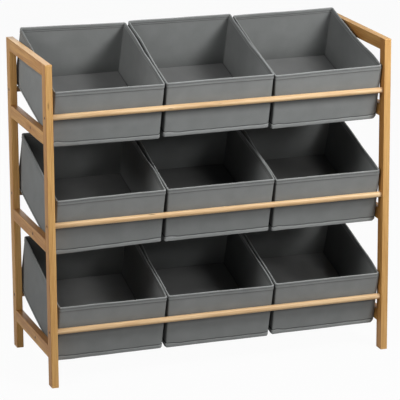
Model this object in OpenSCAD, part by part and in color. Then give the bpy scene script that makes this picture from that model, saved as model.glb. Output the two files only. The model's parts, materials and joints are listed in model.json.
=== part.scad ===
// Three-tier toy rack: two ladder-shaped wooden side frames, nine cross dowels
// and nine open fabric bins that lie tilted towards the front.
// X runs across the rack, -Y is the front, Z is up. The origin is on the floor
// under the middle of the whole rack, bins included.

/* [Rack] */
// Overall width over the outer faces of the side frames
rack_w = 860; // [600:1:1200]
// Overall depth over the front and rear posts
rack_d = 350; // [300:1:420]
// Overall height of the side frames
rack_h = 782; // [740:1:980]
// Floor to the underside of the lowest side rails
foot_h = 68; // [40:1:100]
// Top face of the upper side rails to the top of the posts
top_room = 164; // [130:1:190]

/* [Side frame stock] */
// Thickness of posts and rails, measured across the rack
stock_t = 17; // [15:0.5:24]
// Depth of a post, front to back
post_d = 30; // [26:1:40]
// Height of a rail
rail_h = 30; // [26:1:40]
// Radius of the eased long edges
edge_r = 1.5; // [0.5:0.1:3]
// Radius of the upper outer corner of each post
corner_r = 3; // [1:0.5:8]

/* [Dowels] */
// Diameter of the cross dowels
dowel_d = 14; // [10:0.5:18]
// Centre of the front and rear dowels above the top face of the side rail
dowel_rise = 36.5; // [28:0.5:50]
// How far the support dowel lies in front of the middle of the side rail
support_shift = 31; // [10:1:60]
// Depth of the blind socket that takes a dowel's end
socket_depth = 4; // [2:0.5:8]
// Radial play of a dowel's end in its socket
socket_play = 0.1; // [0.05:0.05:0.3]

/* [Fasteners] */
// Shank diameter of the screws that hold the dowels
screw_d = 4; // [3:0.5:6]
// Length of a screw under the face of the wood
screw_l = 40; // [30:1:60]
// Diameter of the countersunk screw head
head_d = 8; // [7:0.5:11]
// How deep the head's face sits below the face of the wood
head_sink = 0.4; // [0:0.1:1]
// Width across the corners of the six-sided key recess
key_w = 3.4; // [2:0.1:4]
// Depth of the key recess
key_depth = 1.6; // [1:0.1:2]
// Radial play round screws and glue pins
bore_play = 0.1; // [0.05:0.05:0.2]
// Diameter of the hidden glue pins between rails and posts
pin_d = 6; // [4:0.5:8]
// Length of a glue pin, half in the post and half in the rail
pin_l = 30; // [20:1:40]
// Distance between the two pins of one joint
pin_pitch = 15; // [10:1:16]

/* [Bins] */
// Number of bins in a row
bin_count = 3; // [3]
// Height of a bin, square to its bottom
bin_h = 137; // [100:1:160]
// Gap between neighbouring bins, and between the end bins and the posts
bin_gap = 6.5; // [4:0.5:12]
// How far the rear wall leans forward from bottom to rim
rear_lean = 13; // [0:0.5:20]
// How far a bin's bottom reaches behind the centre of the rear dowel
rear_reach = 34; // [10:0.5:40]
// Radius of the lower edges
foot_r = 3; // [2:0.5:8]
// Clearance between a bin and the dowels that carry it
seat_gap = 0.3; // [0.2:0.05:1]

/* [Bin walls] */
// Thickness of one layer of fabric
fabric_t = 0.6; // [0.4:0.1:1.5]
// Thickness of the stiffening board sealed in each wall
wall_board_t = 1.4; // [1:0.1:3]
// Play round a wall board inside its pocket
pocket_play = 0.1; // [0.05:0.05:0.3]
// Height of the sewn hem round the rim
hem_h = 12; // [8:0.5:20]
// How far the hem stands out from the wall
hem_t = 0.6; // [0.2:0.1:1.5]
// Solid sewn edge above the wall boards
rim_seam = 2; // [1:0.5:5]
// How far the sewn welt round the bottom stands out from the walls
welt_t = 0.8; // [0.2:0.1:1.5]
// Height of the welt above the rounded lower edge
welt_h = 2; // [1:0.5:6]
// How far the sewn flange along the front lower edge hangs below the bottom
flange_h = 7; // [2:0.5:12]
// Thickness of that flange
flange_t = 1.6; // [1:0.2:3]
// Thickness of the loose board on the bottom of a bin
base_board_t = 3; // [2:0.5:5]
// Space round the base board
base_play = 1.5; // [0.5:0.5:4]

/* [Colours] */
// Frame timber
wood_tint = "BurlyWood"; // [BurlyWood, Tan, SandyBrown]
// Bin fabric
fabric_tint = "DimGray"; // [DimGray, Gray, SlateGray]

/* [Hidden] */
$fn = 48;
TIERS = ["lower", "middle", "upper"];
PLACES = ["left", "centre", "right"];
SIDES = ["left", "right"];

// Cuts run this far past the faces they open
past = 1;
// Height from one tier to the next
tier_step = (rack_h - foot_h - rail_h - top_room) / 2;
clear_w = rack_w - 2 * stock_t;
post_y = (rack_d - post_d) / 2;
rail_l = rack_d - 2 * post_d;
dowel_r = dowel_d / 2;
dowel_l = clear_w + 2 * socket_depth;
screw_in_dowel = screw_l - (stock_t - socket_depth);
head_h = (head_d - screw_d) / 2;

// A bin lies on the support and rear dowels, so their places set its tilt
support_drop = dowel_rise + rail_h / 2;
tilt = atan2(support_drop, post_y + support_shift);

// Along the tilted bottom (u) and square to it (w), from the middle of the
// top faces of the side rails
front_dowel_u = -post_y * cos(tilt) + dowel_rise * sin(tilt);
rear_dowel_u = post_y * cos(tilt) + dowel_rise * sin(tilt);
support_dowel_w = support_shift * sin(tilt) - rail_h / 2 * cos(tilt);
// The front wall stands clear of its dowel by the welt, which has to pass the
// dowel when the bin is lifted out
bin_u = front_dowel_u + dowel_r + seat_gap + welt_t;
bin_w0 = support_dowel_w + dowel_r + seat_gap;
bin_floor_d = rear_dowel_u - bin_u + rear_reach;
bin_w = (clear_w - (bin_count + 1) * bin_gap) / bin_count;
wall_t = 2 * fabric_t + wall_board_t + 2 * pocket_play;
floor_t = 2 * fabric_t;
// Space left between neighbouring wall boards where two walls meet
board_split = 0.6;
// More than any bin reaches from its middle plane, for cuts that run past it
bin_span = bin_floor_d + welt_t + past;
// Straight pieces in a drawn quarter round
arc_steps = 6;

// The bins reach further back than the posts do. Half of that is taken off the
// place of everything, so that the origin stays under the middle.
rear_out = (bin_floor_d + welt_t - foot_r + bin_u) * cos(tilt)
    - (foot_r + bin_w0) * sin(tilt) + foot_r;
centre_y = (rack_d / 2 - rear_out) / 2;

function side_sign(s) = s == 0 ? -1 : 1;
// Top face of the side rails of a tier
function tier_z(t) = foot_h + rail_h + t * tier_step;
function bin_x(c) = -clear_w / 2 + bin_gap + bin_w / 2 + c * (bin_w + bin_gap);
// Outer face of a bin's rear wall at a height above its bottom
function rear_face(z) = bin_floor_d - rear_lean * z / bin_h;
// A quarter round that starts at an angle
function quarter(x, y, r, from) = [for (i = [0 : arc_steps])
    let (a = from + 90 * i / arc_steps) [x + r * cos(a), y + r * sin(a)]];
// Four-sided outline with lower corners of radius r
function tapered_outline(low, high, z0, z1, r) = r > 0
    ? concat(quarter(low[0] + r, z0 + r, r, 180), quarter(low[1] - r, z0 + r, r, 270),
        [[high[1], z1], [high[0], z1]])
    : [[low[0], z0], [low[1], z0], [high[1], z1], [high[0], z1]];

// Rectangle with true rounded corners
module eased_section(w, h, r) {
    square([w - 2 * r, h], center = true);
    square([w, h - 2 * r], center = true);
    for (x = [-1, 1], y = [-1, 1]) {
        translate([x * (w / 2 - r), y * (h / 2 - r)]) circle(r);
    }
}

// Looks inward from the outer face of a side frame
module at_outer_face(s, y, z) {
    translate([side_sign(s) * rack_w / 2, y, z])
        rotate([0, -side_sign(s) * 90, 0])
            children();
}

// What a dowel's end and its screw take out of a post or rail
module dowel_seat(s, y, z) {
    at_outer_face(s, y, z) {
        translate([0, 0, stock_t - socket_depth])
            cylinder(h = socket_depth + past, r = dowel_r + socket_play);
        translate([0, 0, -past]) cylinder(h = stock_t + 2 * past, d = screw_d + 2 * bore_play);
        translate([0, 0, -past])
            cylinder(h = head_sink + past, r = head_d / 2 + bore_play);
        translate([0, 0, head_sink])
            cylinder(h = head_h, r1 = head_d / 2 + bore_play, r2 = screw_d / 2 + bore_play);
    }
}

module screw(s, y, z) {
    at_outer_face(s, y, z) difference() {
        rotate_extrude() polygon([
            [0, head_sink], [head_d / 2, head_sink], [screw_d / 2, head_sink + head_h],
            [screw_d / 2, screw_l - screw_d], [0, screw_l]
        ]);
        translate([0, 0, head_sink - past])
            cylinder(h = key_depth + past, d = key_w, $fn = 6);
    }
}

// Axis places of the two glue pins at each end of one rail
module at_pins(s, rail_mid_z) {
    for (end = [-1, 1], k = [-1, 1]) {
        translate([side_sign(s) * (rack_w - stock_t) / 2, end * rail_l / 2,
                rail_mid_z + k * pin_pitch / 2])
            rotate([90, 0, 0])
                children();
    }
}

module pin_bores(s) {
    for (z = rail_mids) {
        at_pins(s, z) cylinder(h = pin_l + 2 * bore_play, d = pin_d + 2 * bore_play, center = true);
    }
}
rail_mids = [for (t = [0 : 2]) tier_z(t) - rail_h / 2, rack_h - rail_h / 2];

// front is -1 for a front post and 1 for a rear post
module post(s, front) {
    color(wood_tint) difference() {
        intersection() {
            translate([side_sign(s) * (rack_w - stock_t) / 2, front * post_y, 0])
                linear_extrude(rack_h)
                    eased_section(stock_t, post_d, edge_r);
            side_outline(s);
            eased_top(s);
        }
        for (t = [0 : 2]) dowel_seat(s, front * post_y, tier_z(t) + dowel_rise);
        pin_bores(s);
    }
}

// Outline of a whole side frame seen from the side, with rounded top corners
module side_outline(s) {
    translate([side_sign(s) * (rack_w - stock_t) / 2, 0, 0])
        rotate([90, 0, 90])
            linear_extrude(stock_t + 2 * past, center = true) {
                translate([-rack_d / 2, 0]) square([rack_d, rack_h - corner_r]);
                translate([-rack_d / 2 + corner_r, 0]) square([rack_d - 2 * corner_r, rack_h]);
                for (y = [-1, 1]) {
                    translate([y * (rack_d / 2 - corner_r), rack_h - corner_r]) circle(corner_r);
                }
            }
}

// Full-depth bar whose top edges are eased like those of the top rail
module eased_top(s) {
    translate([side_sign(s) * (rack_w - stock_t) / 2, 0, 0])
        rotate([90, 0, 0])
            linear_extrude(rack_d + 2 * past, center = true) {
                translate([-stock_t / 2, 0]) square([stock_t, rack_h - edge_r]);
                translate([-stock_t / 2 + edge_r, 0]) square([stock_t - 2 * edge_r, rack_h]);
                for (x = [-1, 1]) {
                    translate([x * (stock_t / 2 - edge_r), rack_h - edge_r]) circle(edge_r);
                }
            }
}

module rail_bar(s, mid_z) {
    translate([side_sign(s) * (rack_w - stock_t) / 2, 0, mid_z])
        rotate([90, 0, 0])
            linear_extrude(rail_l, center = true)
                eased_section(stock_t, rail_h, edge_r);
}

module top_rail(s) {
    color(wood_tint) difference() {
        rail_bar(s, rack_h - rail_h / 2);
        pin_bores(s);
    }
}

module side_rail(s, t) {
    color(wood_tint) difference() {
        rail_bar(s, tier_z(t) - rail_h / 2);
        dowel_seat(s, -support_shift, tier_z(t) - rail_h / 2);
        pin_bores(s);
    }
}

// Places of the three dowels of a tier: front, support and rear
function dowel_y(k) = [-post_y, -support_shift, post_y][k];
function dowel_z(t, k) = tier_z(t) + [dowel_rise, -rail_h / 2, dowel_rise][k];

module dowel(t, k) {
    color(wood_tint) translate([0, dowel_y(k), dowel_z(t, k)]) rotate([0, 90, 0]) difference() {
        cylinder(h = dowel_l, r = dowel_r, center = true);
        for (end = [-1, 1]) {
            translate([0, 0, end * (dowel_l / 2 - screw_in_dowel / 2 + past / 2)])
                cylinder(h = screw_in_dowel + past, d = screw_d + 2 * bore_play, center = true);
        }
    }
}

module screws(s) {
    color("DarkSlateGray") for (t = [0 : 2], k = [0 : 2]) screw(s, dowel_y(k), dowel_z(t, k));
}

module glue_pins(s) {
    color("Wheat") for (z = rail_mids) {
        at_pins(s, z) cylinder(h = pin_l, d = pin_d, center = true);
    }
}

// Moves a bin's own frame, with its front lower edge at the origin and its
// bottom level, to its tilted place on the dowels
module on_dowels(t, c) {
    translate([bin_x(c), 0, tier_z(t)])
        rotate([tilt, 0, 0])
            translate([0, bin_u, bin_w0])
                children();
}

// Block with the shape of a bin, set in from the outer faces of the side
// walls by in_x and of the front and rear walls by in_y
module bin_block(in_x, in_y, z0, z1, r = 0) {
    intersection() {
        rotate([90, 0, 90]) linear_extrude(2 * bin_span, center = true)
            polygon(tapered_outline([in_y, rear_face(z0) - in_y],
                [in_y, rear_face(z1) - in_y], z0, z1, r));
        rotate([90, 0, 0]) linear_extrude(2 * bin_span, center = true)
            polygon(tapered_outline([in_x - bin_w / 2, bin_w / 2 - in_x],
                [in_x - bin_w / 2, bin_w / 2 - in_x], z0, z1, r));
    }
}

module bin_shell(t, c) {
    color(fabric_tint) on_dowels(t, c) difference() {
        union() {
            bin_block(0, 0, 0, bin_h, foot_r);
            bin_block(-hem_t, -hem_t, bin_h - hem_h, bin_h);
            bin_block(-welt_t, -welt_t, 0, foot_r + welt_h, foot_r);
            front_flange();
        }
        bin_block(wall_t, wall_t, floor_t, bin_h + past);
        difference() {
            bin_block(fabric_t, fabric_t, pocket_z0, pocket_z1);
            bin_block(wall_t - fabric_t, wall_t - fabric_t, pocket_z0 - past, pocket_z1 + past);
        }
    }
}
// Flat strip that hangs from the welt, in line with its front face
module front_flange() {
    translate([foot_r - bin_w / 2, -welt_t, -flange_h])
        cube([bin_w - 2 * foot_r, flange_t, flange_h + foot_r]);
}
// The pockets start above the rounded lower edges
pocket_z0 = foot_r;
pocket_z1 = bin_h - rim_seam;

module wall_boards(t, c) {
    outer = fabric_t + pocket_play;
    inner = outer + wall_board_t;
    z0 = pocket_z0 + pocket_play;
    z1 = pocket_z1 - pocket_play;
    color("Peru") on_dowels(t, c) {
        difference() {
            bin_block(outer, outer, z0, z1);
            bin_block(-past, inner, z0 - past, z1 + past);
        }
        difference() {
            bin_block(outer, inner + board_split, z0, z1);
            bin_block(inner, -past, z0 - past, z1 + past);
        }
    }
}

module base_board(t, c) {
    inset = wall_t + base_play;
    color(fabric_tint) on_dowels(t, c)
        bin_block(inset, inset, floor_t, floor_t + base_board_t);
}

// Puts the origin under the middle of the whole depth
module placed() {
    translate([0, centre_y, 0]) children();
}

for (s = [0, 1]) {
    placed() post(s, -1);
    placed() post(s, 1);
    placed() top_rail(s);
    placed() screws(s);
    placed() glue_pins(s);
    for (t = [0 : 2]) {
        placed() side_rail(s, t);
    }
}
for (t = [0 : 2]) {
    placed() dowel(t, 0);
    placed() dowel(t, 1);
    placed() dowel(t, 2);
    for (c = [0 : 2]) {
        placed() bin_shell(t, c);
        placed() wall_boards(t, c);
        placed() base_board(t, c);
    }
}
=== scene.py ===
import json
import math
import bpy
import numpy as np
from mathutils import Matrix, Vector


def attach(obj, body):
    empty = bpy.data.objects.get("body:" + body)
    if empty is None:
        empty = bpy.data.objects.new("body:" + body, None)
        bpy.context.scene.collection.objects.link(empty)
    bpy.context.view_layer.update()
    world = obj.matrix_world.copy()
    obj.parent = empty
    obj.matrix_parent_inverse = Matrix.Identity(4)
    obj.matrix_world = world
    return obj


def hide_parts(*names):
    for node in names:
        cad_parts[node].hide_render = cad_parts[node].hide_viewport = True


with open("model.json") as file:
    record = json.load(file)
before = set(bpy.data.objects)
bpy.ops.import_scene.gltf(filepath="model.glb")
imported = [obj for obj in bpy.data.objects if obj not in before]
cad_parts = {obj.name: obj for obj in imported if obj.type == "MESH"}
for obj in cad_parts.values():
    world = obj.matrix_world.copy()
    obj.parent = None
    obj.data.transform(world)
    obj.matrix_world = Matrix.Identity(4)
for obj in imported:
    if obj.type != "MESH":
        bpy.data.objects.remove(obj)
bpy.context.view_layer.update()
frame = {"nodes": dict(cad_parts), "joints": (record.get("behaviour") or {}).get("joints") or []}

# Sizes are in metres. A bin has its own frame: x across, u back along its tilted
# bottom from the front lower edge, w square to the bottom.
MM = 0.001
TIERS = ("lower", "middle", "upper")
PLACES = ("left", "centre", "right")

# The bins lift square to their bottoms, so a lift joint's axis gives their tilt
lift_axis = frame["joints"][0]["axis"]
TILT = math.atan2(-lift_axis[1], lift_axis[2])


# --- Sizes of the sewn cloth ---------------------------------------------------

# How far the sewn edges of the CAD bins stand out from the plain wall
WELT_OUT = 0.8 * MM
HEM_OUT = 0.6 * MM

# Thickness of the walls, with their cards, and of the floor
WALL = 2.8 * MM
FLOOR = 1.2 * MM
# Radii of the upright corners, of the lower edge, and of the floor's edge inside
CORNER_R = 4.5 * MM
LEAST_R = 0.5 * MM
FOOT_R = 3 * MM
INNER_FOOT_R = 1 * MM

# The welt round the lower edge, and the crease above it
WELT_TOP = 5 * MM
LEAST_WELT = -1 * MM
WELT_BULGE = 0.15 * MM
CREASE_IN = 0.5 * MM
CREASE_TOP = 3.2 * MM
# How far the welt rises, in mm, at its left and right ends, and how far along
BUNCH_LEFT, BUNCH_RIGHT = (1.5, 3.5), (0.3, 1.2)
BUNCH_LEFT_AT = 9 * MM
BUNCH_LEFT_L, BUNCH_RIGHT_L = 13 * MM, 10 * MM
# Its upper edge is uneven: height and length of its waves, and how much further along
# they start in each next bin
WELT_WAVES = ((0.3 * MM, 11 * MM, 1), (0.25 * MM, 4.3 * MM, 2))

# The flange on the front lower edge: its sewn band's height, its thickness, the
# radius of its rounded ends
BAND_H = 9.4 * MM
BAND_T = 1.6 * MM
BAND_R = 5 * MM
# Beside another bin it goes on round the corner, hanging by this share, this far back
BAND_WRAP = 0.85
WRAP_L = 50 * MM
# Near its left end it hangs in small waves: height, length, and how far they reach
BAND_WAVE, BAND_WAVE_L, BAND_WAVE_REACH = 0.5 * MM, 17 * MM, 60 * MM
# Round the flange's edge: share of its drop, and which face, -1 inner and 1 outer
BAND_EDGE = ((0, -1), (-0.5, -1), (-0.9, -1), (-1, -0.6), (-1, 0.6), (-0.9, 1), (-0.4, 1))

# The hem round the rim. It stands out by HEM_OUT outside and by HEM_IN inside.
HEM_H = 12 * MM
HEM_IN = 0.4 * MM
# Rows of stitches lie this far below the rim, on the front and on the rear wall
STITCH_DROP_FRONT = 5 * MM
STITCH_DROP_REAR = 8 * MM
STITCH_PITCH = 5 * MM
STITCH_L = 3.6 * MM
THREAD_R = 0.42 * MM
# Along a stitch: share of its length, and thickness there in thread radii
STITCH_SHAPE = ((0.18, 0.8), (0.5, 1.15), (0.82, 0.8))
STITCH_SIDES = 6
STITCH_SINK = 0.3

# The cards in the walls: their faces, and how far their edges stay off the cloth
CARD_OUT, CARD_IN = -0.7 * MM, -2.1 * MM
CARD_FOOT_GAP, CARD_RIM_GAP = 0.1 * MM, 2.1 * MM
CARD_ROWS = 7

# The panel on the floor: play to the walls, edge radius, underside and top
PANEL_PLAY = 1.5 * MM
PANEL_EDGE_R = 1.4 * MM
PANEL_LOW, PANEL_HIGH = FLOOR + 0.15 * MM, FLOOR + 3 * MM

# Quads along a front wall, a side wall and a corner, and up a plain wall
ACROSS, ALONG, ROUND, UP = 34, 34, 5, 22
# Points lie closer together near the corners, by this share of a wall
CLOSER = 0.11
# Steps round the rim, round a panel's edge and round the floor's edge
RIM_STEPS, PANEL_STEPS, FLOOR_STEPS = 8, 8, 3
# Rings that close a bottom or a floor
CAP_STEPS = 7


# --- How light or dark the cloth is --------------------------------------------

# Shares by which parts of the cloth are lighter or darker than its plain colour: painted light and
# shade. They were fitted to the photograph. They paint highlights on edges, shade in folds, seams and
# gaps, and light and shade on whole faces and bands, which stay the same under other light.
# Painted highlights on the rims, the welt and the hem's lower edge; painted shade in the crease over
# the welt, along the hem's foot, in the seam and round the floor panel's edge
RIM_TONE = 0.3
SIDE_RIM_TONE = 0.02
WELT_TONE = 0.22
CREASE_TONE = -0.7
HEM_TONE = -0.55
HEM_EDGE_TONE = 0.05
SEAM_TONE = -0.5
BOARD_EDGE_TONE = -0.5
# Outer faces of walls: painted shade in the dark gap beside another bin, and painted light facing a
# side frame, lighter in higher tiers
GAP_TONE = -0.6
OUTER_TONE = {"upper": 0.18, "middle": 0.08, "lower": 0}
# Painted highlights on rims beside another bin, and painted shade on rims near the rear
INNER_RIM_TONE = {"upper": 0.22, "middle": 0.04, "lower": 0.02}
RIM_REAR_TONE = {"upper": 0, "middle": -0.4, "lower": -0.4}
# Painted light and shade on the inner faces of side walls: lighter at the front and darker at the
# rear
INSIDE_FRONT_TONE = {"upper": 0.14, "middle": 0.35, "lower": 0.3}
INSIDE_REAR_TONE = {"upper": -0.34, "middle": -0.42, "lower": -0.5}
# Painted light and shade on the inner face of the rear wall: lighter to the right, as much darker to
# the left, and painted shade down in its fold
REAR_SIDE_TONE = {"upper": 0, "middle": 0.12, "lower": 0.22}
REAR_FOOT_TONE = -0.28
REAR_FOOT_H = 28 * MM
# Painted light and shade on the top of the panel on the floor
PANEL_TONE = {"upper": 0.18, "middle": -0.15, "lower": 0.3}

# The front dowel touches the front walls at this height, where they stay flat
DOWEL_W = 76 * MM
DOWEL_BAND = 14 * MM
# Along its underside they are darker, a painted shadow of the dowel, and below that painted light and
# shade make them a little lighter in the upper tier and darker in the lower
DOWEL_SHADOW_W, DOWEL_SHADOW_H, DOWEL_SHADOW_TONE = 61.5 * MM, 5 * MM, -0.36
BELOW_DOWEL_W, BELOW_DOWEL_H = 46 * MM, 12 * MM
BELOW_DOWEL_TONE = {"upper": 0.16, "middle": 0, "lower": -0.06}

# Sewn edges from the bottom up: height in mm above a mark, reach, and tone.
# Over the welt's upper edge comes the crease.
WELT_EDGE = (
    (-0.5, 0.8 * WELT_OUT, WELT_TONE), (0, -0.5 * CREASE_IN, CREASE_TONE),
    (0.9, -CREASE_IN, CREASE_TONE), (2, -0.2 * CREASE_IN, 0.3 * CREASE_TONE),
)
# The hem's lower edge, outside and, downwards, inside
HEM_EDGE = (
    (-1.3, -0.05 * MM, 0.2 * HEM_TONE), (-0.6, -0.1 * MM, HEM_TONE),
    (-0.1, 0.3 * HEM_OUT, HEM_TONE), (0.4, 0.95 * HEM_OUT, HEM_EDGE_TONE), (1.5, 1.1 * HEM_OUT, 0),
)
HEM_EDGE_INSIDE = (
    (0.4, -WALL - 0.95 * HEM_IN, HEM_EDGE_TONE), (-0.1, -WALL - 0.3 * HEM_IN, HEM_TONE),
    (-0.6, -WALL, HEM_TONE),
)
# The seam pulls the hem in, outside and, downwards, inside
SEAM_DIP = (
    (-1.4, 1.1 * HEM_OUT, 0), (-0.6, 0.8 * HEM_OUT, 0.8 * SEAM_TONE),
    (0, 0.4 * HEM_OUT, SEAM_TONE), (0.6, 0.8 * HEM_OUT, 0.8 * SEAM_TONE), (1.4, 1.05 * HEM_OUT, 0),
)
SEAM_DIP_INSIDE = (
    (1.4, -WALL - 1.1 * HEM_IN, 0), (0.6, -WALL - 0.8 * HEM_IN, 0.8 * SEAM_TONE),
    (0, -WALL - 0.2 * HEM_IN, SEAM_TONE), (-0.6, -WALL - 0.8 * HEM_IN, 0.8 * SEAM_TONE),
    (-1.4, -WALL - 1.1 * HEM_IN, 0),
)
# Plain wall begins this far below the hem's lower edge, outside and inside
WALL_TOP, INNER_WALL_TOP = 1.2 * MM, 1.3 * MM


# --- How the cloth of each bin lies, in mm -------------------------------------

# How far its corners lie off the plain bin: (across, back, up) for each corner
# (left -1 or right 1, front 0 or rear 1, rim 1)
CORNERS = {
    ("upper", "left"): {(-1, 1, 1): (3, 2, 10), (1, 1, 1): (1.5, 0, 4.5), (1, 0, 1): (0, 0, -1.5)},
    ("upper", "centre"): {(-1, 1, 1): (2.5, 0, 7.8), (1, 1, 1): (0, 0, 7), (1, 0, 1): (-1, 0, 1)},
    ("upper", "right"): {(-1, 1, 1): (1, 0, 1.5), (1, 1, 1): (-1.5, 0, 4.5),
                         (-1, 0, 1): (-1.5, 0, -3), (1, 0, 1): (-1, 0, 2)},
    ("middle", "left"): {(-1, 1, 1): (1.5, 2, 9), (1, 0, 1): (0, 0, 3), (1, 1, 1): (0, 0, 9)},
    ("middle", "centre"): {(-1, 0, 1): (0, 0, 4), (1, 0, 1): (0, 0, 4.5),
                           (-1, 1, 1): (0, 0, 9), (1, 1, 1): (0, 0, 9)},
    ("middle", "right"): {(-1, 0, 1): (-0.5, 0, 2), (1, 0, 1): (-1.5, 0, 2),
                          (-1, 1, 1): (0, 0, 9), (1, 1, 1): (2, 0, 9)},
    ("lower", "left"): {(-1, 1, 1): (1.5, 2, 8), (1, 0, 1): (0, 0, -2.5), (1, 1, 1): (0, 0, 9)},
    ("lower", "centre"): {(1, 0, 1): (0, 0, -3), (-1, 0, 1): (-0.5, 0, 0),
                          (-1, 1, 1): (0, 0, 9), (1, 1, 1): (0, 0, 9)},
    ("lower", "right"): {(-1, 0, 1): (-1, 0, 1), (1, 0, 1): (-0.5, 0, 1),
                         (-1, 1, 1): (0, 0, 9), (1, 1, 1): (2, 0, 9)},
}
# How far a rim beside a side frame bows out, halfway back and near the front
SIDE_BOW = {
    ("upper", "right", 1): (-2.5, 5), ("middle", "right", 1): (2.7, 0.6),
    ("lower", "right", 1): (4.5, 1.8),
    ("middle", "left", -1): (1.5, 0.8), ("lower", "left", -1): (1, 0.6),
}
PLAIN_BOW = (-1.6, 0.4)
# "Near the front" is here, and this wide, as shares of the depth
FRONT_BOW_AT, FRONT_BOW_W = 0.2, 0.13
# How far a rim between two bins leans over the gap, at these shares of the depth.
# It doesn't lean at the very front and rear.
LEAN_AT = (0, 0.12, 0.3, 0.5, 0.7, 0.9, 1)
LEAN = {
    ("upper", "left", 1): (2, 2.5, 0.9, 3, 2.3), ("upper", "centre", -1): (1.8, 2.1, 0.3, -2, 1.6),
    ("upper", "centre", 1): (2.4, 1.4, -3, -1.5, -1.4), ("upper", "right", -1): (1, 3.2, 4.1, 3, 2.4),
    ("middle", "left", 1): (1.7, 3.4, -1.1, -1.3, -2),
    ("middle", "centre", -1): (0.3, 0.9, 1.1, -1.7, 0),
    ("middle", "centre", 1): (4.6, 4.4, 0.7, -1.5, -2),
    ("middle", "right", -1): (-0.9, -0.1, 1.6, -1.2, 1),
    ("lower", "left", 1): (3.3, 2.1, 1.1, 1.9, 0), ("lower", "centre", -1): (0.7, 1.7, 2.3, -1.7, 0),
    ("lower", "centre", 1): (3.5, 0.9, -0.3, 2.2, 0.4),
    ("lower", "right", -1): (-1.1, 0.3, 1.5, 0.8, 1.5),
}
# A lean is the mean over these steps, as shares of the depth, which rounds its bends
LEAN_STEPS = (-0.06, -0.03, 0, 0.03, 0.06)
# How far the front flange hangs below the bottom at its left and right ends
HANG = {
    ("upper", "left"): (6.5, 8.5), ("upper", "centre"): (5.5, 4.2), ("upper", "right"): (9.5, 5),
    ("middle", "left"): (8, 0.5), ("middle", "centre"): (1.5, 0.5), ("middle", "right"): (3, 2.5),
    ("lower", "left"): (11.5, 9.5), ("lower", "centre"): (10, 9.5), ("lower", "right"): (6.7, 5),
}
# How far the side walls stand out at their feet, halfway back
FOOT_BOW = {("upper", "left", -1): 2.2, ("middle", "left", -1): 4.2, ("lower", "left", -1): 4.8}
PLAIN_FOOT_BOW = {-1: 1.4, 1: -0.8}
# How far the right bins swell towards the side frame behind their front edge. The
# swelling starts just behind that edge and fades out over a length.
SWELL = 4.6
SWELL_START, SWELL_L = 4 * MM, 60 * MM
# How far the front corners between two bins are drawn in, at the rim and at the foot
PINCH = (-0.9, 1.2)
PINCH_L = 40 * MM
# Waves all over the cloth: height, how many are added up, and their lengths in metres
RIPPLE = 0.5
WAVES = 5
WAVE_L = (0.07, 0.2)
# A sum of that many waves, divided by its usual size, still goes this far
WAVE_PEAK = 1.4
# A bin's own number is added to these, so each bin has its own waves and bunches
RIPPLE_SEED, BUNCH_SEED = 40, 70
# How far the front wall sinks in at the middle of its rim
FRONT_SAG = 0.6
# The front and rear walls' own shifts fade out this far round the corner
TURN_L = 6 * MM


# --- The plain bin and how its cloth settles -----------------------------------

def ring_shares():
    """Points round a bin: share across, share back, and the wall's outward direction."""
    rows = []
    corners = [((-1, 0), (0, -1)), ((1, 0), (1, 0)), ((1, 1), (0, 1)), ((-1, 1), (-1, 0))]
    for k, ((sx, su), (nx, nu)) in enumerate(corners):
        (ex, eu), (mx, mu) = corners[(k + 1) % 4]
        count = ACROSS if k % 2 == 0 else ALONG
        for i in range(count):
            f = i / count - CLOSER * math.sin(2 * math.pi * i / count)
            rows.append((sx + (ex - sx) * f, su + (eu - su) * f, nx, nu))
        for i in range(ROUND):
            turn = math.pi / 2 * i / ROUND
            rows.append((ex, eu, nx * math.cos(turn) + mx * math.sin(turn),
                         nu * math.cos(turn) + mu * math.sin(turn)))
    return np.array(rows)


SHARE_X, SHARE_U, NORMAL_X, NORMAL_U = ring_shares().T
RING_L = len(SHARE_X)
ON_FRONT = (SHARE_U == 0) * (NORMAL_U < 0)
# Points whose wall faces a side, give or take a little of the corner
ON_SIDE = NORMAL_X ** 2 > 0.8


def bump(value, centre, width):
    return np.exp(-(((value - centre) / width) ** 2))


def ripple(p, seed):
    """Slow waves from -1 to 1, different in each bin."""
    rng = np.random.default_rng(RIPPLE_SEED + seed)
    total = np.zeros(len(p))
    for _ in range(WAVES):
        wave_length = rng.uniform(*WAVE_L)
        direction = rng.normal(size=3)
        direction *= 2 * math.pi / wave_length / np.linalg.norm(direction)
        total += np.sin(p @ direction + rng.uniform(0, 2 * math.pi))
    return total / WAVES ** 0.5 / WAVE_PEAK


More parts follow.
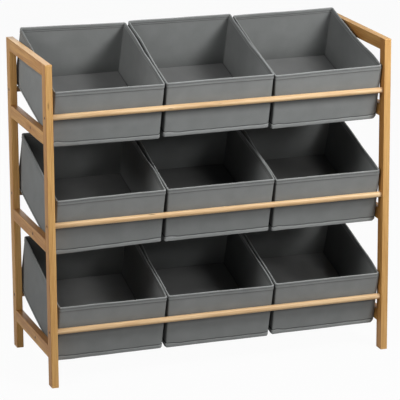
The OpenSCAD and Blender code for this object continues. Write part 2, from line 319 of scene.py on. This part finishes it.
class Bin:
    """A bin's place and plain sizes, as its CAD solid has them, and how its cloth lies."""

    def __init__(self, tier, place):
        self.tier, self.place = tier, place
        self.name = f"{tier}_{place}"
        self.body = self.name + "_bin_body"
        self.seed = TIERS.index(tier) * len(PLACES) + PLACES.index(place)
        mesh = frame["nodes"][self.name + "_bin"].data
        points = np.array([v.co for v in mesh.vertices])
        level = points @ np.array(Matrix.Rotation(TILT, 3, "X"))
        low, high = level.min(0), level.max(0)
        rim = level[level[:, 2] > high[2] - 0.1 * MM]
        # The front half's lowest point is its flange, the rear half's is its bottom
        bottom = level[level[:, 1] > (low[1] + high[1]) / 2][:, 2].min()
        self.half = (high[0] - low[0]) / 2 - WELT_OUT
        self.depth = high[1] - low[1] - 2 * WELT_OUT
        self.height = high[2] - bottom
        self.rear_lean = (high[1] - WELT_OUT) - (rim[:, 1].max() - HEM_OUT)
        corner = Vector(((low[0] + high[0]) / 2, low[1] + WELT_OUT, bottom))
        self.matrix = Matrix.Rotation(TILT, 4, "X") @ Matrix.Translation(corner)

    def has_neighbour(self, side):
        return self.place != ("right" if side > 0 else "left")

    def rear(self, w):
        return self.depth - self.rear_lean * w / self.height

    def ring(self, w, out):
        """One ring of points at height w, standing out from the plain wall by out."""
        w = np.broadcast_to(w, RING_L)
        r = np.maximum(CORNER_R + out, LEAST_R)
        x = SHARE_X * (self.half + out - r) + r * NORMAL_X
        u = r - out + SHARE_U * (self.rear(w) + 2 * out - 2 * r) + r * NORMAL_U
        return np.stack([x, u, w], axis=1)

    def settle(self, p):
        """Moves points of the plain bin to where its sewn cloth lies."""
        x, u, w = p.T
        across = np.clip(x / self.half, -1, 1)
        back = np.clip(u / self.rear(w), 0, 1)
        up = np.clip(w / self.height, 0, 1)
        shift = np.zeros_like(p)
        for (sx, su, sw), move in CORNERS[self.tier, self.place].items():
            share = (1 + sx * across) / 2
            share = share * (back if su else 1 - back)
            share = share * (up if sw else 1 - up)
            shift += share[:, None] * np.array(move) * MM
        for side in (-1, 1):
            reach = np.clip(side * across, 0, 1) ** 4
            shift[:, 0] += side * reach * self.side_bow(side, u, back, up) * MM
        free = 1 - bump(w, DOWEL_W, DOWEL_BAND)
        wave = ripple(p, self.seed) * RIPPLE * MM
        at_front = np.clip(1 - u / TURN_L, 0, 1)
        at_rear = np.clip(1 - (self.rear(w) - u) / TURN_L, 0, 1)
        sag = FRONT_SAG * MM * np.cos(math.pi * across / 2) * up
        shift[:, 1] += at_front * free * (sag + abs(wave))
        shift[:, 1] += at_rear * wave
        # The side walls move most near the rim, and only the rim moves up and down
        shift[:, 0] += np.abs(across) ** 8 * wave * (0.3 + 0.7 * up)
        shift[:, 2] += 0.8 * wave * up ** 6
        return p + shift

    def side_bow(self, side, u, back, up):
        """How far a side wall bows out, in mm, at distance u or share back, and at share up."""
        key = (self.tier, self.place, side)
        foot = FOOT_BOW.get(key, PLAIN_FOOT_BOW[side])
        # The lower edge's bow is least at its two ends, but not quite nothing
        low = foot * np.sqrt(np.clip(np.sin(math.pi * (0.06 + 0.88 * back)), 0, 1)) * (1 - up) ** 2
        if self.has_neighbour(side):
            lean = (0, *LEAN[key], 0)
            bow = sum(np.interp(back + step, LEAN_AT, lean) for step in LEAN_STEPS)
            at_rim, at_foot = PINCH
            pinch = (at_foot + (at_rim - at_foot) * up) * bump(u, 0, PINCH_L)
            return bow / len(LEAN_STEPS) * up ** 2 + low - pinch
        middle, front = SIDE_BOW.get(key, PLAIN_BOW)
        bow = middle * np.sin(math.pi * back) * up ** 1.5
        bow = bow + front * bump(back, FRONT_BOW_AT, FRONT_BOW_W) * up ** 0.7
        if self.place == "right":
            # The swelling lessens to a half between four fifths of the height and the rim
            swell = SWELL * np.clip(u / SWELL_START, 0, 1) * bump(u, 0, SWELL_L)
            return bow + low + swell * np.clip(1.2 - up, 0, 0.4) / 0.4
        return bow + low


# --- Meshes --------------------------------------------------------------------

class Builder:
    """Collects the points and faces of one mesh, and how dark or light each point is."""

    def __init__(self):
        self.points, self.faces, self.tones = [], [], []

    def add(self, points, tone=0.0):
        start = len(self.points)
        self.points.extend(map(tuple, points))
        self.tones.extend(np.broadcast_to(tone, len(points)))
        return start

    def quad(self, a, b, c, d, flip=False):
        self.faces.append((d, c, b, a) if flip else (a, b, c, d))

    def band(self, lower, upper, n, flip=False):
        """Joins two closed rings of n points with quads."""
        for i in range(n):
            j = (i + 1) % n
            self.quad(lower + i, lower + j, upper + j, upper + i, flip)

    def loft(self, rings, tones=None):
        """Joins closed rings of equal length, and returns where each ring starts."""
        tones = tones or [0.0] * len(rings)
        starts = [self.add(ring, tone) for ring, tone in zip(rings, tones)]
        for lower, upper in zip(starts, starts[1:]):
            self.band(lower, upper, len(rings[0]))
        return starts

    def cap(self, ring, start, flip, tone=0.0):
        """Fills a ring with ever smaller rings down to one middle point."""
        n = len(ring)
        centre = ring.mean(0)
        outer = start
        for s in range(1, CAP_STEPS):
            inner = self.add(centre + (ring - centre) * (1 - s / CAP_STEPS), tone)
            self.band(outer, inner, n, flip)
            outer = inner
        middle = self.add([centre], tone)
        self.fan(outer, n, middle, flip)

    def fan(self, start, n, tip, flip):
        """Closes a ring with triangles to one point."""
        for i in range(n):
            tri = (start + i, start + (i + 1) % n, tip)
            self.faces.append(tri[::-1] if flip else tri)

    def build(self, name, matrix, look):
        mesh = bpy.data.meshes.new(name)
        mesh.from_pydata(self.points, [], self.faces)
        mesh.polygons.foreach_set("use_smooth", [True] * len(self.faces))
        mesh.attributes.new("tone", "FLOAT", "POINT").data.foreach_set("value", self.tones)
        mesh.update()
        mesh.materials.append(look)
        piece = bpy.data.objects.new(name, mesh)
        bpy.context.scene.collection.objects.link(piece)
        piece.matrix_world = matrix
        return piece


# --- The cloth shell of a bin --------------------------------------------------

def flange_drop(b):
    """How far the lower edge lies below the bottom, and where it is the front flange."""
    x = b.ring(0, WELT_OUT)[:, 0]
    left, right = (v * MM for v in HANG[b.tier, b.place])
    drop = left + (right - left) * (SHARE_X + 1) / 2
    drop += BAND_WAVE * np.sin(x / BAND_WAVE_L + 2 * b.seed) * bump(x, -b.half, BAND_WAVE_REACH)
    from_end = np.clip((b.half + WELT_OUT - abs(x)) / BAND_R, 0, 1)
    at_front = ON_FRONT * np.sqrt(1 - (1 - from_end) ** 2)
    beside = np.array([b.has_neighbour(side) for side in np.sign(x)])
    wrapped = np.clip(2 - 2 * b.ring(0, 0)[:, 1] / WRAP_L, 0, 1)
    at_front = np.maximum(at_front, BAND_WRAP * beside * wrapped)
    return drop * at_front, at_front


def foot_path(b):
    """Rings round the lower edge, from the bottom out to the welt: height, reach, tone."""
    drop, at_front = flange_drop(b)
    last = len(BAND_EDGE) - 1
    for i, (depth, face) in enumerate(BAND_EDGE):
        turn = math.pi / 2 * i / last
        w = FOOT_R * (1 - math.cos(turn)) * (1 - at_front) + depth * drop
        plain_out = WELT_OUT - FOOT_R * (1 - math.sin(turn))
        flange_out = WELT_OUT - BAND_T / 2 + face * BAND_T / 2
        yield w, plain_out * (1 - at_front) + flange_out * at_front, WELT_TONE * i / last


def welt_height(b):
    """Height of the welt's upper edge. It rises where its cloth bunches at the corners."""
    x = SHARE_X * b.half
    drop, at_front = flange_drop(b)
    rng = np.random.default_rng(BUNCH_SEED + b.seed)
    left = rng.uniform(*BUNCH_LEFT) * MM * bump(x, -b.half + BUNCH_LEFT_AT, BUNCH_LEFT_L)
    right = rng.uniform(*BUNCH_RIGHT) * MM * bump(x, b.half, BUNCH_RIGHT_L)
    uneven = sum(h * np.sin(x / length + turns * b.seed) for h, length, turns in WELT_WAVES)
    band = BAND_H - drop + left + right
    return WELT_TOP + at_front * (np.maximum(band, LEAST_WELT) - WELT_TOP) + uneven


def next_to_bin(b):
    """How squarely each point of a ring faces another bin, from 0 to 1."""
    beside = [b.has_neighbour(side) for side in np.sign(NORMAL_X)]
    return np.clip(2 * np.where(beside, abs(NORMAL_X), 0) - 1, 0, 1)


def depth_share():
    """0 at the front of a bin and 1 from three quarters of its depth on, with soft bends."""
    deep = np.clip(SHARE_U / 0.75, 0, 1)
    return deep * deep * (3 - 2 * deep)


def rim_tone(b):
    """Painted highlights along the rims, lightest on the front and rear rims, and painted shade on
    rims near the rear.
    """
    tone = np.where(SHARE_U * (1 - SHARE_U) > 0, SIDE_RIM_TONE, RIM_TONE)
    tone = np.maximum(tone, INNER_RIM_TONE[b.tier] * next_to_bin(b))
    return tone + RIM_REAR_TONE[b.tier] * depth_share() ** 4


def inside_tone(b, w):
    """Painted light and shade inside a bin, at height w: lighter at the front, darker at the rear,
    and painted shade in its fold.
    """
    front = INSIDE_FRONT_TONE[b.tier]
    sides = front + (INSIDE_REAR_TONE[b.tier] - front) * depth_share()
    fold = REAR_FOOT_TONE * bump(w, FLOOR, REAR_FOOT_H) * (1 - 0.5 * SHARE_X)
    rear = fold + REAR_SIDE_TONE[b.tier] * SHARE_X
    return NORMAL_X ** 2 * sides + np.clip(NORMAL_U, 0, 1) ** 2 * rear


def under_dowel_tone(b, w):
    """The front wall's painted shadow under the front dowel, and painted light and shade below it, at
    height w.
    """
    below = BELOW_DOWEL_TONE[b.tier] * bump(w, BELOW_DOWEL_W, BELOW_DOWEL_H)
    return ON_FRONT * (DOWEL_SHADOW_TONE * bump(w, DOWEL_SHADOW_W, DOWEL_SHADOW_H) + below)


def fabric(b, look):
    """The sewn cloth of a bin: outside, rim fold, inside, floor and bottom."""
    rings, tones = [], []
    inner_wall = next_to_bin(b)
    outside = GAP_TONE * inner_wall + OUTER_TONE[b.tier] * np.where(ON_SIDE, 1 - inner_wall, 0)

    def level(w, out, tone=0.0):
        """Adds a ring. Outer rings below the hem also get their wall's painted shade beside another
        bin and painted light facing a side frame.
        """
        rings.append(b.settle(b.ring(w, out)))
        below_rim = np.clip((b.height - w) / HEM_H, 0, 1)
        tones.append(tone + outside * below_rim * (np.asarray(out) > -WALL / 2))

    def sewn_edge(mark, steps):
        for above, out, tone in steps:
            level(mark + above * MM, out, tone)

    for w, out, tone in foot_path(b):
        level(w, out, tone)
    welt = welt_height(b)
    level(0.5 * w + 0.5 * welt, WELT_OUT + WELT_BULGE, WELT_TONE)
    sewn_edge(welt, WELT_EDGE)
    level(welt + CREASE_TOP, 0)
    hem_foot = b.height - HEM_H
    for i in range(1, UP):
        w = welt + CREASE_TOP + (hem_foot - WALL_TOP - welt - CREASE_TOP) * i / UP
        level(w, 0, under_dowel_tone(b, w))
    sewn_edge(hem_foot, HEM_EDGE)
    seam = b.height - stitch_drop()
    sewn_edge(seam, SEAM_DIP)
    fold_r = (WALL + HEM_OUT + HEM_IN) / 2
    for i in range(RIM_STEPS + 1):
        turn = math.pi * i / RIM_STEPS
        level(b.height - fold_r * (1 - math.sin(turn)), HEM_OUT - fold_r * (1 - math.cos(turn)),
              rim_tone(b) * math.sin(turn) ** 0.5)
    sewn_edge(seam, SEAM_DIP_INSIDE)
    sewn_edge(hem_foot, HEM_EDGE_INSIDE)
    top = hem_foot - INNER_WALL_TOP
    level(top, -WALL, inside_tone(b, hem_foot))
    for i in range(1, UP):
        w = top + (FLOOR + INNER_FOOT_R - top) * i / UP
        level(w, -WALL, inside_tone(b, w))
    for i in range(FLOOR_STEPS + 1):
        turn = math.pi / 2 * i / FLOOR_STEPS
        level(FLOOR + INNER_FOOT_R * (1 - math.sin(turn)),
              -WALL - INNER_FOOT_R * (1 - math.cos(turn)), inside_tone(b, FLOOR))

    mesh = Builder()
    starts = mesh.loft(rings, tones)
    mesh.cap(rings[0], starts[0], flip=True)
    mesh.cap(rings[-1], starts[-1], flip=False)
    return mesh.build(b.name + "_fabric", b.matrix, look)


# --- What is sewn and laid into a bin ------------------------------------------

def stitch_drop():
    return STITCH_DROP_FRONT + (STITCH_DROP_REAR - STITCH_DROP_FRONT) * SHARE_U


def stitches(b, look):
    """Two rows of thread round the hem, outside and inside."""
    mesh = Builder()
    w = b.height - stitch_drop()
    for out, side in ((0.5 * HEM_OUT, 1), (-WALL - 0.2 * HEM_IN, -1)):
        path = b.settle(b.ring(w, out))
        path = np.vstack([path, path[:1]])
        run = np.concatenate([[0], np.cumsum(np.linalg.norm(np.diff(path, axis=0), axis=1))])
        count = int(run[-1] / STITCH_PITCH)
        for i in range(count):
            at = (i + 0.5) * run[-1] / count
            ends = [at - STITCH_L / 2, at + STITCH_L / 2]
            a, c = (np.array([np.interp(e, run, path[:, k]) for k in range(3)]) for e in ends)
            add_stitch(mesh, a, c, side)
    return mesh.build(b.name + "_stitches", b.matrix, look)


def add_stitch(mesh, a, c, side):
    """One stitch from a to c: a short thread with its ends drawn into the cloth."""
    along = (c - a) / np.linalg.norm(c - a)
    up = np.array([0.0, 0.0, 1.0])
    off = np.cross(along, up) * side
    sink = -STITCH_SINK * THREAD_R * off
    turns = [2 * math.pi * k / STITCH_SIDES for k in range(STITCH_SIDES)]
    circle = np.array([THREAD_R * (math.cos(t) * off + math.sin(t) * up) for t in turns])
    rings = [a + (c - a) * share + sink + size * circle for share, size in STITCH_SHAPE]
    if side < 0:
        rings = [r[::-1] for r in rings]
    starts = mesh.loft(rings)
    for tip, ring_start, flip in ((a, starts[0], True), (c, starts[-1], False)):
        mesh.fan(ring_start, STITCH_SIDES, mesh.add([tip + 2 * sink]), flip)


def cards(b, look):
    """The four stiff cards sewn into the walls, bent as the cloth bends them."""
    mesh = Builder()
    heights = np.linspace(FOOT_R + CARD_FOOT_GAP, b.height - CARD_RIM_GAP, CARD_ROWS)
    first = 0
    for wall in range(4):
        count = (ACROSS if wall % 2 == 0 else ALONG) + 1
        picks = (first + np.arange(count)) % RING_L
        first += count - 1 + ROUND
        loops = []
        for w in heights:
            outer = b.settle(b.ring(w, CARD_OUT))[picks]
            inner = b.settle(b.ring(w, CARD_IN))[picks][::-1]
            loops.append(np.vstack([outer, inner]))
        starts = mesh.loft(loops)
        for start, flip in ((starts[0], True), (starts[-1], False)):
            for i in range(count - 1):
                j = 2 * count - 1 - i
                mesh.quad(start + i, start + i + 1, start + j - 1, start + j, flip)
    return mesh.build(b.name + "_wall_cards", b.matrix, look)


def base_panel(b, look):
    """The loose cloth-covered board on the floor of a bin."""
    inset = WALL + PANEL_PLAY
    middle, half = (PANEL_LOW + PANEL_HIGH) / 2, (PANEL_HIGH - PANEL_LOW) / 2
    rings = []
    for i in range(PANEL_STEPS + 1):
        turn = math.pi * i / PANEL_STEPS
        w = middle - half * math.cos(turn)
        rings.append(b.ring(w, -inset - PANEL_EDGE_R * (1 - math.sin(turn))))
    # Painted shade round the panel's edge, and painted light and shade on its top
    edge_tones = [BOARD_EDGE_TONE] * len(rings)
    rings.append(b.ring(PANEL_HIGH, -inset - 2 * PANEL_EDGE_R))
    tone = PANEL_TONE[b.tier]
    mesh = Builder()
    starts = mesh.loft(rings, edge_tones + [tone])
    mesh.cap(rings[0], starts[0], flip=True)
    mesh.cap(rings[-1], starts[-1], flip=False, tone=tone)
    return mesh.build(b.name + "_base_panel", b.matrix, look)


# --- Materials -----------------------------------------------------------------

# Colours in linear light
CLOTH = (0.226, 0.234, 0.23)
PANEL_CLOTH = (0.135, 0.137, 0.135)
THREAD = (0.12, 0.121, 0.117)
CARD = (0.35, 0.27, 0.18)
BAR_LIGHT, BAR_DARK = (0.7, 0.425, 0.16), (0.47, 0.235, 0.07)
DOWEL_LIGHT, DOWEL_DARK = (0.765, 0.545, 0.31), (0.57, 0.36, 0.18)
PIN_LIGHT, PIN_DARK = (0.62, 0.44, 0.25), (0.5, 0.33, 0.17)
STEEL = (0.045, 0.038, 0.034)
# Painted shade on the left and right faces of the bars and on the top faces of the rails beside the
# bins
# Shares of its colour that a bar's left and right faces keep, and that the top faces
# of the rails beside the bins keep. Fitted to the photograph, which shows them darker.
SIDE_FACE_SHADE = (0.88, 0.77, 0.58)
TOP_FACE_SHADE = (0.45, 0.36, 0.26)
PORE_SHADE, KNOT_SHADE = 0.72, 0.3
# Up to how far the patterns are moved along, so that no two pieces look the same
CLOTH_SHIFT, WOOD_SHIFT = 0.5, 3


def add_node(tree, kind, inputs, **settings):
    """Adds a shader node. Its inputs are values or the outputs of other nodes."""
    made = tree.nodes.new("ShaderNode" + kind)
    for key, value in settings.items():
        setattr(made, key, value)
    for key, value in inputs.items():
        if isinstance(value, bpy.types.NodeSocket):
            tree.links.new(value, made.inputs[key])
        else:
            made.inputs[key].default_value = value
    return made


class Look:
    """A material under construction."""

    def __init__(self, name, colour, roughness, **sockets):
        self.material = bpy.data.materials.new(name)
        self.material.use_nodes = True
        self.tree = self.material.node_tree
        self.shader = self.tree.nodes["Principled BSDF"]
        self.shader.inputs["Base Color"].default_value = (*colour, 1)
        self.shader.inputs["Roughness"].default_value = roughness
        for socket, value in sockets.items():
            self.shader.inputs[socket.replace("_", " ")].default_value = value
        coords = self.node("TexCoord", {})
        self.coords, self.normal = coords.outputs["Object"], coords.outputs["Normal"]

    def node(self, kind, inputs, **settings):
        return add_node(self.tree, kind, inputs, **settings)

    def vector(self, operation, a, b):
        return self.node("VectorMath", {0: a, 1: b}, operation=operation).outputs[0]

    def stretched(self, scale, shift=None):
        """Object coordinates scaled by axis, moved along by a different amount in each object."""
        vector = self.coords
        if shift:
            rand = self.node("ObjectInfo", {}).outputs["Random"]
            move = self.vector("MULTIPLY", rand, (shift, shift * 0.7, shift * 1.3))
            vector = self.vector("ADD", vector, move)
        return self.vector("MULTIPLY", vector, scale)

    def noise(self, vector, scale, detail=2.0, rough=0.5, distortion=0.0):
        return self.node("TexNoise", {"Vector": vector, "Scale": scale, "Detail": detail,
                                      "Roughness": rough, "Distortion": distortion}).outputs["Fac"]

    def between(self, value, low, high, to_low=0.0, to_high=1.0):
        return self.node("MapRange", {"Value": value, "From Min": low, "From Max": high,
                                      "To Min": to_low, "To Max": to_high}).outputs["Result"]

    def maths(self, operation, a, b):
        return self.node("Math", {0: a, 1: b}, operation=operation).outputs[0]

    def total(self, *parts):
        """The sum of several values, each given with its weight."""
        weighted = [self.maths("MULTIPLY", value, weight) for value, weight in parts]
        result = weighted[0]
        for value in weighted[1:]:
            result = self.maths("ADD", result, value)
        return result

    def mix(self, share, a, b):
        """A colour between a and b."""
        inputs = {0: share}
        for slot, value in ((6, a), (7, b)):
            inputs[slot] = value if isinstance(value, bpy.types.NodeSocket) else (*value, 1)
        return self.node("Mix", inputs, data_type="RGBA").outputs[2]

    def tint_faces(self, colour, facing, tint):
        """The colour times the tint on faces that look one way, as a share from 0 to 1 says."""
        return self.mix(self.between(facing, 0.4, 0.9), colour, self.vector("MULTIPLY", colour, tint))

    def finish(self, colour, height, strength, depth, roughness=None):
        self.tree.links.new(colour, self.shader.inputs["Base Color"])
        if roughness:
            self.tree.links.new(roughness, self.shader.inputs["Roughness"])
        bumped = self.node("Bump", {"Height": height, "Strength": strength, "Distance": depth})
        self.tree.links.new(bumped.outputs["Normal"], self.shader.inputs["Normal"])
        return self.material


def scaled(colour, factor):
    return tuple(c * factor for c in colour)


def cloth_look(name, colour):
    """Non-woven cloth: matted fibres about 1 mm apart with small pressed dots, and patches
    some centimetres wide that are a little lighter or darker."""
    look = Look(name, colour, 0.85, Specular_IOR_Level=0.15, Sheen_Weight=0.08, Sheen_Roughness=0.5)
    patches = look.noise(look.stretched((1, 1, 1), CLOTH_SHIFT), 22, 3)
    fibres = look.noise(look.stretched((1, 1, 1.6), CLOTH_SHIFT), 900, 3, 0.65)
    tone = look.total((patches, 0.6), (fibres, 0.4))
    colour = look.mix(look.between(tone, 0.35, 0.65), scaled(colour, 0.93), scaled(colour, 1.07))
    # The tone attribute holds painted light and shade: highlights on edges, shade in folds, seams,
    # gaps and under the dowel, and light and shade on whole faces
    share = look.maths("ADD", look.node("Attribute", {}, attribute_name="tone").outputs["Fac"], 1.0)
    colour = look.node("VectorMath", {0: colour, "Scale": share}, operation="SCALE").outputs[0]
    pressed = look.node("TexVoronoi", {"Vector": look.coords, "Scale": 620, "Randomness": 0.15})
    dot = look.between(pressed.outputs["Distance"], 0.15, 0.5)
    height = look.maths("ADD", look.maths("MULTIPLY", dot, 0.5), fibres)
    return look.finish(colour, height, 0.35, 0.25 * MM)


def thread_look(name):
    """Twisted sewing thread."""
    look = Look(name, THREAD, 0.6, Sheen_Weight=0.2)
    twist = look.noise(look.stretched((1, 1, 3)), 1400, 2)
    colour = look.mix(look.between(twist, 0.3, 0.7), scaled(THREAD, 0.8), scaled(THREAD, 1.2))
    return look.finish(colour, twist, 0.3, 0.1 * MM)


def card_look(name):
    """Pressed grey-brown board with flecks."""
    look = Look(name, CARD, 0.9)
    flecks = look.noise(look.coords, 700, 4, 0.7)
    colour = look.mix(look.between(flecks, 0.35, 0.7), scaled(CARD, 0.8), scaled(CARD, 1.15))
    return look.finish(colour, flecks, 0.3, 0.2 * MM)


def wood_look(name, axis, light, dark, roughness=0.5, shade_sides=False, shade_top=False):
    """Straight-grained timber with its grain along one axis, under a thin matt lacquer.

    Faces to the left and right can be given painted shade, browner than the others, and so can the
    faces that look up."""
    look = Look(name, light, roughness, Specular_IOR_Level=0.22)

    def grain_space(along, across):
        """Coordinates scaled by one number along the grain and another across it."""
        return look.stretched(tuple(along if k == axis else across for k in range(3)), WOOD_SHIFT)

    broad = grain_space(1.0, 14.0)
    slow = look.noise(broad, 3.2, 3, 0.55, 0.4)
    streaks = look.noise(grain_space(5.0, 190.0), 3, 4, 0.6)
    pores = look.noise(grain_space(40.0, 1100.0), 2, 2)
    rings = look.node("TexWave", {"Vector": broad, "Scale": 7.0, "Distortion": 5.0, "Detail": 3.0,
                                  "Detail Scale": 0.7, "Detail Roughness": 0.6},
                      wave_type="BANDS", bands_direction="X" if axis else "Y").outputs["Fac"]
    tone = look.total((slow, 0.45), (streaks, 0.35), (rings, 0.2))
    colour = look.mix(look.between(tone, 0.38, 0.62), dark, light)
    pore = look.between(pores, 0.62, 0.78, 0.0, 0.35)
    colour = look.mix(pore, colour, scaled(dark, PORE_SHADE))
    # A few of the cells of a stretched pattern hold a small knot
    spots = look.node("TexVoronoi", {"Vector": grain_space(11.0, 62.0), "Scale": 1.0,
                                     "Randomness": 1.0})
    chance = look.node("SeparateColor", {0: spots.outputs["Color"]}).outputs[0]
    knot = look.maths("MULTIPLY", look.between(spots.outputs["Distance"], 0.05, 0.13, 0.75, 0.0),
                      look.between(chance, 0.6, 0.62))
    colour = look.mix(knot, colour, scaled(dark, KNOT_SHADE))
    # Painted shade on faces that look left or right, and on faces that look up
    if shade_sides:
        facing = look.node("VectorMath", {0: look.normal}, operation="ABSOLUTE").outputs[0]
        sideways = look.node("SeparateXYZ", {0: facing}).outputs[0]
        colour = look.tint_faces(colour, sideways, SIDE_FACE_SHADE)
    if shade_top:
        upward = look.node("SeparateXYZ", {0: look.normal}).outputs[2]
        colour = look.tint_faces(colour, upward, TOP_FACE_SHADE)
    height = look.maths("SUBTRACT", look.maths("MULTIPLY", streaks, 0.5),
                        look.maths("MULTIPLY", pore, 0.8))
    rough = look.between(streaks, 0.3, 0.7, roughness + 0.06, roughness - 0.05)
    return look.finish(colour, height, 0.25, 0.2 * MM, rough)


def steel_look(name):
    """Dark oxidised steel of the screw heads."""
    look = Look(name, STEEL, 0.48, Metallic=0.7)
    spots = look.noise(look.coords, 1500, 3)
    colour = look.mix(look.between(spots, 0.4, 0.7), STEEL, scaled(STEEL, 1.7))
    return look.finish(colour, spots, 0.2, 0.05 * MM, look.between(spots, 0.3, 0.7, 0.4, 0.58))


# --- The rack and its bins -----------------------------------------------------

def dress_frame():
    """Gives the CAD nodes that stay their materials, by the ends of their names."""
    looks = {
        "_post": wood_look("post_wood", 2, BAR_LIGHT, BAR_DARK, shade_sides=True),
        "_top_rail": wood_look("top_rail_wood", 1, BAR_LIGHT, BAR_DARK, shade_sides=True),
        "_rail": wood_look("rail_wood", 1, BAR_LIGHT, BAR_DARK, shade_sides=True, shade_top=True),
        "_dowel": wood_look("dowel_wood", 0, DOWEL_LIGHT, DOWEL_DARK, 0.42),
        "_glue_pins": wood_look("pin_wood", 1, PIN_LIGHT, PIN_DARK, 0.7),
        "_screws": steel_look("screw_steel"),
    }
    for name, node in frame["nodes"].items():
        # The first ending that fits counts, so a top rail isn't taken for a rail
        look = next((looks[ending] for ending in looks if name.endswith(ending)), None)
        if look is not None:
            node.data.materials.clear()
            node.data.materials.append(look)


def dress_bins():
    """Builds the nine sewn bins, each riding on its own body."""
    cloth = cloth_look("bin_cloth", CLOTH)
    panel = cloth_look("panel_cloth", PANEL_CLOTH)
    thread = thread_look("bin_thread")
    card = card_look("wall_card")
    for tier in TIERS:
        for place in PLACES:
            b = Bin(tier, place)
            made = fabric(b, cloth)
            sewn = stitches(b, thread)
            stiff = cards(b, card)
            base = base_panel(b, panel)
            for piece, slot in ((made, "bin_fabric"), (sewn, "bin_fabric"), (stiff, "wall_card"),
                                (base, "base_fabric")):
                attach(piece, b.body)
            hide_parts(b.name + "_bin")
            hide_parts(b.name + "_wall_boards")
            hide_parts(b.name + "_base_board")


# --- Floor, light and camera ---------------------------------------------------

FLOOR_HALF = 7.0
# Share of plain white that the camera sees in the floor. The rest is grey paint,
# which shows the rack's shadow.
FLOOR_GLOW = 0.96
FLOOR_PAINT = 0.45
# The world's light on the rack: strength, and tint
WORLD_LIGHT = 0.035
WORLD_TINT = (0.88, 0.97, 1.2)
# Soft boxes: place in metres, width, power in watts. All face one point.
SOFT_BOXES = {
    "far_right": ((1.8, -3.8, 2.2), 1.2, 55),
    "key": ((0.9, -1.3, 1.8), 0.6, 23),
    "left": ((-1.6, -0.6, 1.6), 0.8, 18),
    "near": ((0.5, -0.9, 1.7), 0.5, 5),
    "low": ((0, -4.5, 1.0), 1.6, 4),
    "back": ((0, 3.2, 1.5), 1.6, 28),
}
LIT_POINT = Vector((0, 0, 0.4))

# The photograph's camera, fitted to the rack's edges without a lens shift.
# The focal length is in pixels of a 400-pixel frame, and the angles in degrees.
FRAME_PX = 400
SENSOR = 36.0
FOCAL_PX = 2521.5
YAW, PITCH, ROLL = 18.866, 15.303, -0.356
EYE = (-1.9215, -5.6394, 2.0056)


def seen_directly(tree):
    """1 for rays from the camera, and for those that a mirror or glass sends on, else 0."""
    path = add_node(tree, "LightPath", {})
    seen = path.outputs["Is Camera Ray"]
    for ray in ("Is Glossy Ray", "Is Transmission Ray"):
        seen = add_node(tree, "Math", {0: seen, 1: path.outputs[ray]},
                        operation="MAXIMUM").outputs[0]
    return seen


def make_floor():
    """A plain pale floor that keeps a faint shadow of the rack."""
    mesh = bpy.data.meshes.new("floor")
    corners = [(x * FLOOR_HALF, y * FLOOR_HALF, 0) for x, y in ((-1, -1), (1, -1), (1, 1), (-1, 1))]
    mesh.from_pydata(corners, [], [(0, 1, 2, 3)])
    floor = bpy.data.objects.new("floor", mesh)
    bpy.context.scene.collection.objects.link(floor)
    look = bpy.data.materials.new("pale_floor")
    look.use_nodes = True
    tree = look.node_tree
    tree.nodes.clear()
    paint = add_node(tree, "BsdfDiffuse", {"Color": (FLOOR_PAINT, FLOOR_PAINT, FLOOR_PAINT, 1)})
    glow = add_node(tree, "Emission", {})
    share = add_node(tree, "Math", {0: seen_directly(tree), 1: FLOOR_GLOW}, operation="MULTIPLY")
    mix = add_node(tree, "MixShader", {0: share.outputs[0], 1: paint.outputs[0], 2: glow.outputs[0]})
    add_node(tree, "OutputMaterial", {"Surface": mix.outputs[0]})
    mesh.materials.append(look)


def make_world():
    """White where it is seen, a plain dim and slightly cool light elsewhere."""
    world = bpy.data.worlds.new("studio")
    bpy.context.scene.world = world
    world.use_nodes = True
    tree = world.node_tree
    seen = seen_directly(tree)
    tint = add_node(tree, "Mix", {0: seen, 6: (*WORLD_TINT, 1), 7: (1, 1, 1, 1)}, data_type="RGBA")
    level = add_node(tree, "MapRange", {"Value": seen, "To Min": WORLD_LIGHT, "To Max": 1})
    shade = tree.nodes["Background"]
    tree.links.new(tint.outputs[2], shade.inputs["Color"])
    tree.links.new(level.outputs["Result"], shade.inputs["Strength"])


def make_lights():
    for name, (place, width, watts) in SOFT_BOXES.items():
        light = bpy.data.lights.new(name, "AREA")
        light.size = width
        light.energy = watts
        box = bpy.data.objects.new("soft_box_" + name, light)
        box.location = place
        box.rotation_euler = (Vector(place) - LIT_POINT).to_track_quat("Z", "Y").to_euler()
        box.visible_camera = False
        bpy.context.scene.collection.objects.link(box)


def make_camera():
    yaw, pitch, roll = (math.radians(a) for a in (YAW, PITCH, ROLL))
    ahead = Vector((math.sin(yaw) * math.cos(pitch), math.cos(yaw) * math.cos(pitch),
                    -math.sin(pitch)))
    right = Vector((math.cos(yaw), -math.sin(yaw), 0))
    over = right.cross(ahead)
    tilted_right = right * math.cos(roll) + over * math.sin(roll)
    tilted_up = over * math.cos(roll) - right * math.sin(roll)
    data = bpy.data.cameras.new("camera")
    data.sensor_width = SENSOR
    data.lens = FOCAL_PX * SENSOR / FRAME_PX
    camera = bpy.data.objects.new("camera", data)
    turn = Matrix((tilted_right, tilted_up, -ahead)).transposed()
    camera.matrix_world = Matrix.Translation(EYE) @ turn.to_4x4()
    bpy.context.scene.collection.objects.link(camera)
    bpy.context.scene.camera = camera


dress_frame()
dress_bins()
make_floor()
make_world()
make_lights()
make_camera()
bpy.context.scene.view_settings.view_transform = "Standard"
bpy.context.view_layer.update()
